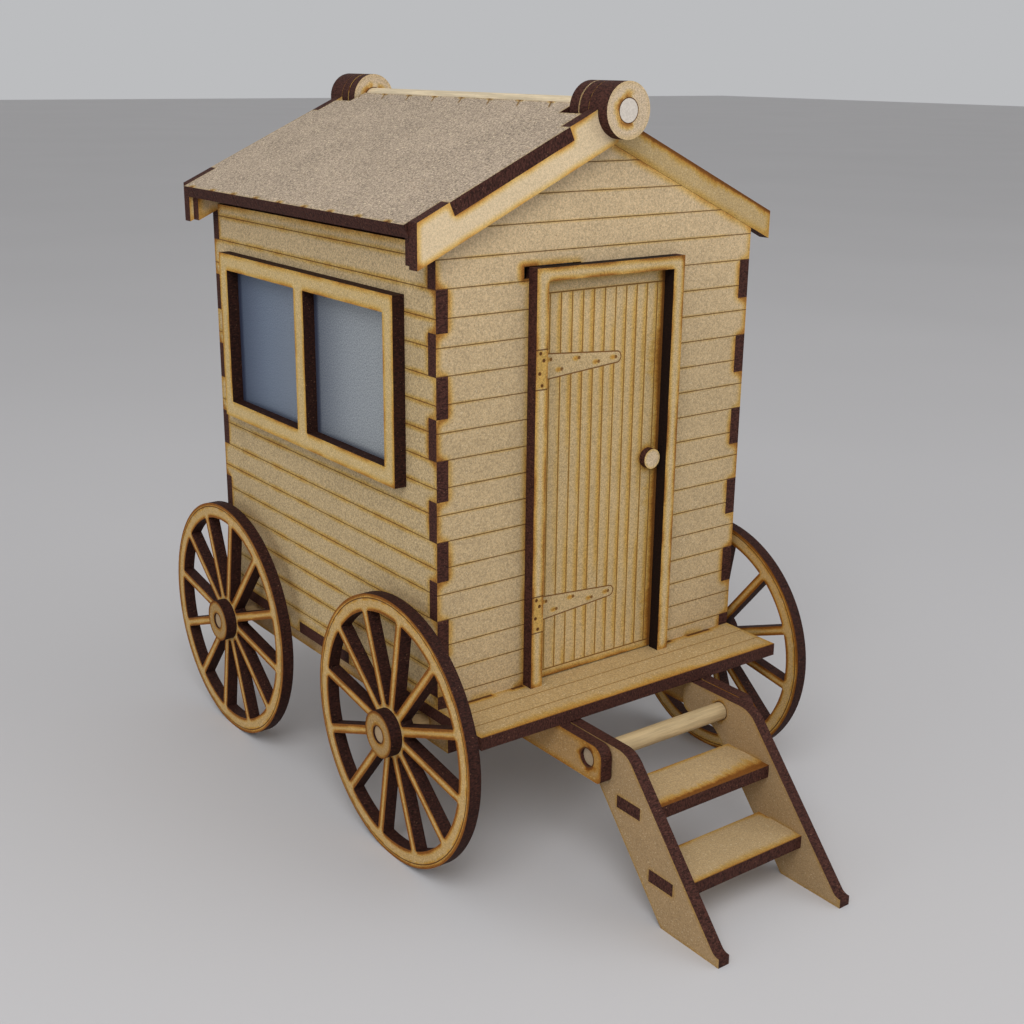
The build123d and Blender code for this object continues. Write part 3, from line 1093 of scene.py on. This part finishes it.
@dataclass
class Walls:
    """The four boarded walls and the floor they stand on."""

    board_pitch: float = 6.05
    board_rows: float = 16.5
    platform_lines: tuple[float, ...] = (-5.6, -11.4)
    foot_slits: tuple[tuple[float, float], ...] = ((21.6, 24.8), (30.6, 38.0))
    doorway_half: float = 21.5
    front_parts: tuple[str, ...] = ("front_wall_left", "front_wall_right", "front_wall_head")
    notch_burn: NotchBurn = NotchBurn(edge=-22.5, bottom=133.65, top=136.25, reach=2.8)
    end_tone: Colour = paint(188, 164, 126)
    side_tone: Colour = paint(183, 160, 121)
    floor_tone: Colour = paint(182, 154, 108)

    def copy_of(self, name: str) -> bpy.types.Object:
        """A merged copy of one CAD node.

        Args:
            name: The node's name.

        Returns:
            The copy, ready to be joined to others.
        """
        piece = bpy.data.objects.new(f"{name}_copy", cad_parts[name].data.copy())
        bpy.context.scene.collection.objects.link(piece)
        enter_edit(piece)
        bpy.ops.mesh.remove_doubles(threshold=MERGE_DISTANCE)
        leave_edit()
        return piece

    def one_front_wall(self) -> bpy.types.Object:
        """Join the three parts of the front wall into the one sheet it is cut from.

        Returns:
            The whole front wall.
        """
        wall, *others = [self.copy_of(name) for name in self.front_parts]
        for other in others:
            leave_edit()
            wall.select_set(True)
            bpy.context.view_layer.objects.active = wall
            bpy.ops.object.modifier_add(type="BOOLEAN")
            joint = wall.modifiers[-1]
            joint.operation = "UNION"
            joint.solver = "EXACT"
            joint.object = other
            bpy.ops.object.modifier_apply(modifier=joint.name)
            bpy.data.objects.remove(other, do_unlink=True)
        enter_edit(wall)
        bpy.ops.mesh.remove_doubles(threshold=MERGE_DISTANCE)
        bpy.ops.mesh.dissolve_limited(angle_limit=FLAT_ANGLE)
        bpy.ops.mesh.normals_make_consistent(inside=False)
        leave_edit()
        wall.name = "front_wall"
        wall.data.name = "front_wall"
        return wall

    def board_lines(self, inward: Direction, fringe: float, glow: float) -> BoardLines:
        """The board lines of one wall.

        Args:
            inward: The direction into the room.
            fringe: How far the scorch of a line reaches.
            glow: How strong that scorch is.

        Returns:
            The lines, counted up from the floor.
        """
        start = millimetres("floor_plate")[1].z + self.board_rows * self.board_pitch
        return BoardLines(start, self.board_pitch, inward, fringe, glow)

    def end_wall(self, name: str, inward: Direction, burns: tuple[Marks, ...] = ()) -> bpy.types.Material:
        """The finish of the front or the back wall.

        Args:
            name: The finish's name.
            inward: The direction into the room.
            burns: Further marks on this wall alone.

        Returns:
            The material.
        """
        marks = (self.board_lines(inward, fringe=0.8, glow=0.55), *burns)
        # Painted light makes these walls lighter towards the top; painted shade blackens their cut edges
        # near the middle, as inside a doorway.
        return Fibreboard(
            name, SheetSide.ACROSS, self.end_tone, scorch=0.85, marks=marks, reveal=self.doorway_half,
            painted_light_top=0.65, grit=0.32, grain=0.9
        ).build()

    def side_wall(self, hand: Hand) -> bpy.types.Material:
        """The finish of one side wall, with painted light that makes it lighter under the eave.

        Args:
            hand: Which side of the hut it is on.

        Returns:
            The material.
        """
        marks = (self.board_lines((-hand.value, 0, 0), fringe=1.5, glow=1.0),)
        # Painted light lifts the top boards, where the eave's shade falls.
        return Fibreboard(
            f"{hand.word}_boards", SheetSide.ALONG, self.side_tone, scorch=0.85, marks=marks,
            painted_light_top=0.8, painted_light_span=(120.0, 146.0), grit=0.4, grain=0.75
        ).build()

    def floor(self) -> bpy.types.Material:
        """The finish of the floor, with the platform's lines and the slits for the wall's feet.

        Returns:
            The material.
        """
        front_face = millimetres("door_frame")[1].y
        lines = PlankLines(tuple(front_face + place for place in self.platform_lines))
        rim = EdgeGlow((0, 1, 0), millimetres("floor_plate")[0].y, reach=5.0, strength=0.85)
        marks = (lines, rim, FootSlits(front_face, self.foot_slits))
        boards = Fibreboard("platform_boards", SheetSide.LEVEL, self.floor_tone, scorch=0.7, marks=marks)
        return boards.build()

    def build(self) -> None:
        """Join the front wall and dress all the walls and the floor."""
        front = self.end_wall("front_boards", (0, 1, 0), (self.notch_burn,))
        wall = self.one_front_wall()
        wall.data.materials.clear()
        wall.data.materials.append(front)
        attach(wall, "hut")
        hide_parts(*self.front_parts)
        log.info("joined %s", wall.name)
        dress("back_wall", self.end_wall("back_boards", (0, -1, 0)))
        for hand in Hand:
            dress(f"side_wall_{hand.word}", self.side_wall(hand))
        dress("floor_plate", self.floor())


@dataclass
class Roof:
    """The two roof panels, the gable boards and the round heads at the ridge."""

    apex: float = 167.6
    ridge_edge: float = 2.4
    eave_edge: float = 56.5
    tick_pitch: float = 11.6
    ring_gap: float = 0.08
    slope_tone: Colour = paint(172, 155, 136)
    gable_tone: Colour = paint(220, 197, 160)
    arm_tone: Colour = paint(184, 158, 112)
    disc_tone: Colour = paint(203, 182, 154)
    dowel_tone: Colour = paint(222, 204, 172)

    def panel(self, name: str, side: SheetSide, marks: tuple[Marks, ...] = ()) -> bpy.types.Material:
        """The coarse, little scorched finish of a roof panel.

        Args:
            name: The finish's name.
            side: Which way the panel looks.
            marks: Its burns.

        Returns:
            The material.
        """
        return Fibreboard(
            name, side, self.slope_tone, scorch=0.3, reach=1.2, marks=marks, grit=0.62, grain=0.7,
            relief=0.3
        ).build()

    def build(self) -> None:
        """Dress the roof's pieces."""
        ridge = SlopeTicks(self.apex, self.ridge_edge, self.tick_pitch, length=3.8, slant=0.8, glow=1.5)
        eave = SlopeTicks(self.apex, self.eave_edge, self.tick_pitch, length=0.9, slant=0.0, glow=1.6)
        dress("roof_panel_left", self.panel("left_roof_board", SheetSide.LEFT_SLOPE, (ridge, eave)))
        dress("roof_panel_right", self.panel("right_roof_board", SheetSide.RIGHT_SLOPE))
        hole = Disc.of("ridge_dowel", SheetSide.ACROSS)
        ring = Ring(SheetSide.ACROSS, hole.centre, hole.radius + self.ring_gap, glow=1.0, reach=2.6)
        slope = SheetSide.RIGHT_SLOPE.value
        upper = EdgeGlow(slope, self.apex * math.cos(ROOF_PITCH), reach=3.0, strength=1.3)
        gable = Fibreboard(
            "gable_board", SheetSide.ACROSS, self.gable_tone, scorch=0.9, reach=1.7, grit=0.2
        ).build()
        arm = Fibreboard(
            "lid_arm_board", SheetSide.ACROSS, self.arm_tone, scorch=0.6, marks=(upper,), grit=0.28
        ).build()
        disc = Fibreboard(
            "finial_board", SheetSide.ACROSS, self.disc_tone, scorch=0.3, marks=(ring,)
        ).build()
        for end in ("front", "back"):
            dress(f"bargeboard_{end}", gable)
            dress(f"lid_arm_{end}", arm)
            for layer in ("outer", "inner"):
                dress(f"finial_disc_{end}_{layer}", disc)
        dress("ridge_dowel", BirchDowel("ridge_birch", Lengthways.ALONG_HUT, self.dowel_tone).build())


@dataclass
class Windows:
    """The window frames with two lights, and their frosted panes."""

    bar: float = 4.1
    mullion: float = 4.4
    tone: Colour = paint(194, 168, 118)
    edge: Colour = paint(58, 32, 24)
    edge_deep: Colour = paint(26, 13, 10)

    def build(self) -> None:
        """Dress the frames and panes."""
        wood = Fibreboard(
            "window_board", SheetSide.ALONG, self.tone, scorch=0.85, reach=1.6, edge=self.edge,
            edge_deep=self.edge_deep
        ).build()
        low, high = millimetres("window_frame_left")
        middle = (low.y + high.y) / 2
        front = (low.y + self.bar, middle - self.mullion / 2)
        back = (middle + self.mullion / 2, high.y - self.bar)
        glass = FrostedPane("frosted_sheet", (front, back), low.z + self.bar).build()
        for hand in Hand:
            dress(f"window_frame_{hand.word}", wood)
            dress(f"window_pane_{hand.word}", glass)


@dataclass
class Doorway:
    """The door frame, the planked door and its knob."""

    first_plank: float = -15.12
    plank_width: float = 3.125
    rail_low: float = 41.45
    rail_high: float = 130.05
    jamb: float = 3.2
    frame_half: float = 19.0
    strap_levels: tuple[float, ...] = (113.9, 57.05)
    strap_root: float = -15.0
    strap_root_half: float = 2.8
    strap_tip: float = 5.7
    strap_tip_half: float = 1.3
    strap_nails: tuple[tuple[float, float], ...] = (
        (-14.6, 1.5),
        (-11.5, -1.0),
        (-6.6, 1.0),
        (-0.9, -0.45),
        (4.2, 0.05),
    )
    leaf_above: float = 4.7
    leaf_below: float = 4.1
    leaf_edge: float = -17.9
    leaf_nails: tuple[tuple[float, float], ...] = ((-20.0, 3.9), (-19.1, 2.3), (-20.2, -0.5), (-19.5, -3.2))
    door_tone: Colour = paint(190, 164, 120)
    line_tone: Colour = paint(118, 80, 40)
    frame_tone: Colour = paint(194, 170, 128)
    knob_tone: Colour = paint(206, 184, 152)

    def build(self) -> None:
        """Dress the door, its frame and its knob."""
        straps = tuple(
            Strap(
                level, self.strap_root, self.strap_root_half, self.strap_tip, self.strap_tip_half,
                self.strap_nails
            )
            for level in self.strap_levels
        )
        face = DoorFace(self.first_plank, self.plank_width, self.rail_low, self.rail_high, straps)
        latch_side = millimetres("door_frame")[1].x - self.jamb
        latch = EdgeGlow((1, 0, 0), latch_side, reach=6.0, strength=1.2)
        # Painted light makes the door lighter towards its top, under the frame's head.
        door = Fibreboard(
            "planked_door", SheetSide.ACROSS, self.door_tone, scorch=1.0, marks=(face, latch),
            burn=self.line_tone, painted_light_top=0.5, painted_light_span=(106.0, 132.0)
        )
        dress("door", door.build())
        leaves = JambLeaves(
            self.strap_levels, self.leaf_above, self.leaf_below, self.leaf_edge, self.leaf_nails
        )
        # Painted shade blackens the frame's cut edges inside the doorway.
        jambs = Fibreboard(
            "door_frame_board", SheetSide.ACROSS, self.frame_tone, scorch=1.1, reach=1.6, marks=(leaves,),
            reveal=self.frame_half
        )
        dress("door_frame", jambs.build())
        knob = Fibreboard("knob_board", SheetSide.ACROSS, self.knob_tone, scorch=0.5, reach=1.0)
        dress("door_knob", knob.build())


@dataclass
class Wheels:
    """The four spoked wheels with their hubs and axles."""

    tyre_inset: float = 1.0
    ring_gap: float = 0.08
    reach: float = 1.25
    grit: float = 0.3
    wheel_tone: Colour = paint(186, 154, 102)
    wheel_edge: Colour = paint(66, 37, 30)
    wheel_edge_deep: Colour = paint(26, 13, 10)
    hub_tone: Colour = paint(158, 126, 80)
    hub_edge: Colour = paint(60, 32, 26)
    hub_edge_deep: Colour = paint(24, 12, 10)
    axle_tone: Colour = paint(190, 160, 116)
    axle_end: Colour = paint(172, 148, 118)

    def pair(self, place: Axle) -> None:
        """Dress the two wheels on one axle.

        Args:
            place: Which axle it is.
        """
        rim = Disc.of(f"wheel_{place.value}_left", SheetSide.ALONG)
        hole = Disc.of(f"{place.value}_axle", SheetSide.ALONG)
        tyre = Ring(
            SheetSide.ALONG, rim.centre, rim.radius - self.tyre_inset, width=0.09, glow=0.8, reach=1.1
        )
        ring = Ring(SheetSide.ALONG, rim.centre, hole.radius + self.ring_gap, glow=0.9)
        wheel = Fibreboard(
            f"{place.value}_wheel_board", SheetSide.ALONG, self.wheel_tone, scorch=2.1, reach=self.reach,
            marks=(tyre,), grit=self.grit, edge=self.wheel_edge, edge_deep=self.wheel_edge_deep
        ).build()
        hub = Fibreboard(
            f"{place.value}_hub_board", SheetSide.ALONG, self.hub_tone, scorch=1.6, reach=self.reach,
            marks=(ring,), grit=self.grit, edge=self.hub_edge, edge_deep=self.hub_edge_deep
        ).build()
        for hand in Hand:
            dress(f"wheel_{place.value}_{hand.word}", wheel)
            dress(f"hub_{place.value}_{hand.word}", hub)
        birch = BirchDowel(
            f"{place.value}_axle_birch", Lengthways.ACROSS_HUT, self.axle_tone, self.axle_end
        )
        dress(f"{place.value}_axle", birch.build())

    def build(self) -> None:
        """Dress both pairs of wheels."""
        for place in Axle:
            self.pair(place)


@dataclass
class Chassis:
    """The rails and bearers under the floor."""

    ring_gap: float = 0.1
    rail_tone: Colour = paint(168, 134, 88)
    bearer_tone: Colour = paint(170, 142, 104)

    def build(self) -> None:
        """Dress the rails and bearers."""
        hole = Disc.of("step_dowel", SheetSide.ALONG)
        ring = Ring(
            SheetSide.ALONG, hole.centre, hole.radius + self.ring_gap, width=0.16, glow=1.1, reach=2.6
        )
        nose = EdgeGlow((0, 1, 0), millimetres("rail_left")[0].y, reach=1.8, strength=0.9)
        rail = Fibreboard(
            "rail_board", SheetSide.ALONG, self.rail_tone, scorch=0.9, marks=(ring, nose), grit=0.26
        ).build()
        bearer = Fibreboard("bearer_board", SheetSide.ALONG, self.bearer_tone, scorch=0.7).build()
        for hand in Hand:
            dress(f"rail_{hand.word}", rail)
            dress(f"bearer_{hand.word}", bearer)


@dataclass
class Steps:
    """The folding steps: two stringers, two treads and the dowel they turn on."""

    ring_gap: float = 0.1
    rims: tuple[tuple[str, float, float], ...] = (("lower", 4.0, 0.8), ("upper", 8.0, 1.5))
    stringer_tone: Colour = paint(160, 133, 97)
    tread_tone: Colour = paint(182, 156, 116)
    dowel_tone: Colour = paint(188, 165, 126)
    dowel_end: Colour = paint(176, 156, 130)

    def build(self) -> None:
        """Dress the steps."""
        hole = Disc.of("step_dowel", SheetSide.ALONG)
        ring = Ring(SheetSide.ALONG, hole.centre, hole.radius + self.ring_gap, glow=0.7, reach=1.8)
        stringer = Fibreboard(
            "stringer_board", SheetSide.ALONG, self.stringer_tone, scorch=0.4, reach=1.4, marks=(ring,),
            grit=0.24
        ).build()
        for hand in Hand:
            dress(f"step_stringer_{hand.word}", stringer)
        for place, reach, strength in self.rims:
            name = f"step_tread_{place}"
            rim = EdgeGlow((0, 1, 0), millimetres(name)[0].y, reach, strength)
            tread = Fibreboard(
                f"{place}_tread_board", SheetSide.LEVEL, self.tread_tone, reach=1.6, marks=(rim,), grit=0.26
            )
            dress(name, tread.build())
        birch = BirchDowel("step_birch", Lengthways.ACROSS_HUT, self.dowel_tone, self.dowel_end)
        dress("step_dowel", birch.build())


@dataclass(frozen=True)
class Lamp:
    """One soft square lamp: where it hangs and its width in metres, and its power in watts."""

    name: str
    place: Direction
    size: float
    power: float

    def hang(self, aim: Direction) -> None:
        """Hang the lamp and turn it to a point.

        Args:
            aim: The point it looks at, in metres.
        """
        data = bpy.data.lights.new(self.name, "AREA")
        data.size = self.size
        data.energy = self.power
        lamp = bpy.data.objects.new(self.name, data)
        bpy.context.scene.collection.objects.link(lamp)
        lamp.location = self.place
        lamp.rotation_euler = (Vector(aim) - Vector(self.place)).to_track_quat("-Z", "Y").to_euler()


@dataclass
class Studio:
    """The pale floor, the soft lights and the camera."""

    eye: Direction = (-0.203408, -0.268398, 0.17749)
    azimuth: float = -36.7605
    elevation: float = 17.7186
    roll: float = 0.6734
    focal_pixels: float = 1409.0
    frame_pixels: float = 1024.0
    sensor: float = 36.0
    near_clip: float = 0.01
    floor_size: float = 12.0
    floor_cloud: float = 0.004
    floor_relief: float = 0.01
    floor_dark: Colour = paint(196, 195, 197)
    floor_light: Colour = paint(203, 202, 204)
    backdrop: Colour = paint(188, 189, 191)
    room_light: float = 0.52
    aim: Direction = (0.0, 0.0, 0.09)
    lamps: tuple[Lamp, ...] = (
        Lamp("key", (-0.43, -0.44, 0.66), 0.5, 3.5),
        Lamp("fill", (0.9, -0.9, 0.7), 1.2, 3.9),
        Lamp("low", (-0.9, 0.05, 0.1), 0.5, 1.3),
    )

    def camera(self) -> None:
        """Stand the camera where the photograph was taken from."""
        turn, tilt, lean = (math.radians(a) for a in (self.azimuth, self.elevation, self.roll))
        back = Vector((math.sin(turn) * math.cos(tilt), -math.cos(turn) * math.cos(tilt), math.sin(tilt)))
        right = Vector((math.cos(turn), math.sin(turn), 0.0))
        up = back.cross(right)
        level_right = right.copy()
        right = level_right * math.cos(lean) + up * math.sin(lean)
        up = up * math.cos(lean) - level_right * math.sin(lean)
        data = bpy.data.cameras.new("camera")
        data.sensor_width = self.sensor
        data.lens = self.focal_pixels / self.frame_pixels * self.sensor
        data.clip_start = self.near_clip
        camera = bpy.data.objects.new("camera", data)
        bpy.context.scene.collection.objects.link(camera)
        camera.matrix_world = Matrix.Translation(self.eye) @ Matrix((right, up, back)).transposed().to_4x4()
        bpy.context.scene.camera = camera

    def floor(self) -> None:
        """Lay a pale floor that runs to the horizon."""
        leave_edit()
        bpy.ops.mesh.primitive_plane_add(size=self.floor_size)
        floor = bpy.context.active_object
        floor.name = "floor"
        bench = NodeBench("pale_floor")
        cloud = bench.spot().place.noise(self.floor_cloud)
        colour = cloud.blend(self.floor_dark, self.floor_light)
        floor.data.materials.append(bench.finish(colour, cloud * 0.1 + 0.8, cloud, self.floor_relief))
        leave_edit()

    def sky(self) -> None:
        """Light the room evenly, with a plain grey behind it."""
        world = bpy.data.worlds.new("room")
        bpy.context.scene.world = world
        world.use_nodes = True
        nodes = world.node_tree.nodes
        nodes.clear()
        links = world.node_tree.links
        path = nodes.new("ShaderNodeLightPath")
        light = nodes.new("ShaderNodeBackground")
        light.inputs["Color"].default_value = (1.0, 1.0, 1.0, 1.0)
        light.inputs["Strength"].default_value = self.room_light
        seen = nodes.new("ShaderNodeBackground")
        seen.inputs["Color"].default_value = self.backdrop
        seen.inputs["Strength"].default_value = 1.0
        mix = nodes.new("ShaderNodeMixShader")
        out = nodes.new("ShaderNodeOutputWorld")
        links.new(path.outputs["Is Camera Ray"], mix.inputs[0])
        links.new(light.outputs[0], mix.inputs[1])
        links.new(seen.outputs[0], mix.inputs[2])
        links.new(mix.outputs[0], out.inputs["Surface"])

    def build(self) -> None:
        """Set up the floor, lights, sky and camera."""
        self.floor()
        self.sky()
        for lamp in self.lamps:
            lamp.hang(self.aim)
        self.camera()
        bpy.context.scene.view_settings.view_transform = "Standard"


def main() -> None:
    """Dress the hut's sub-assemblies in order."""
    logging.basicConfig(level=logging.INFO, format="%(name)s %(message)s")
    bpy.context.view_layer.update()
    for part in (Walls(), Roof(), Windows(), Doorway(), Wheels(), Chassis(), Steps()):
        part.build()
        log.info("finished %s", type(part).__name__)
    Studio().build()


if __name__ == "__main__":
    main()
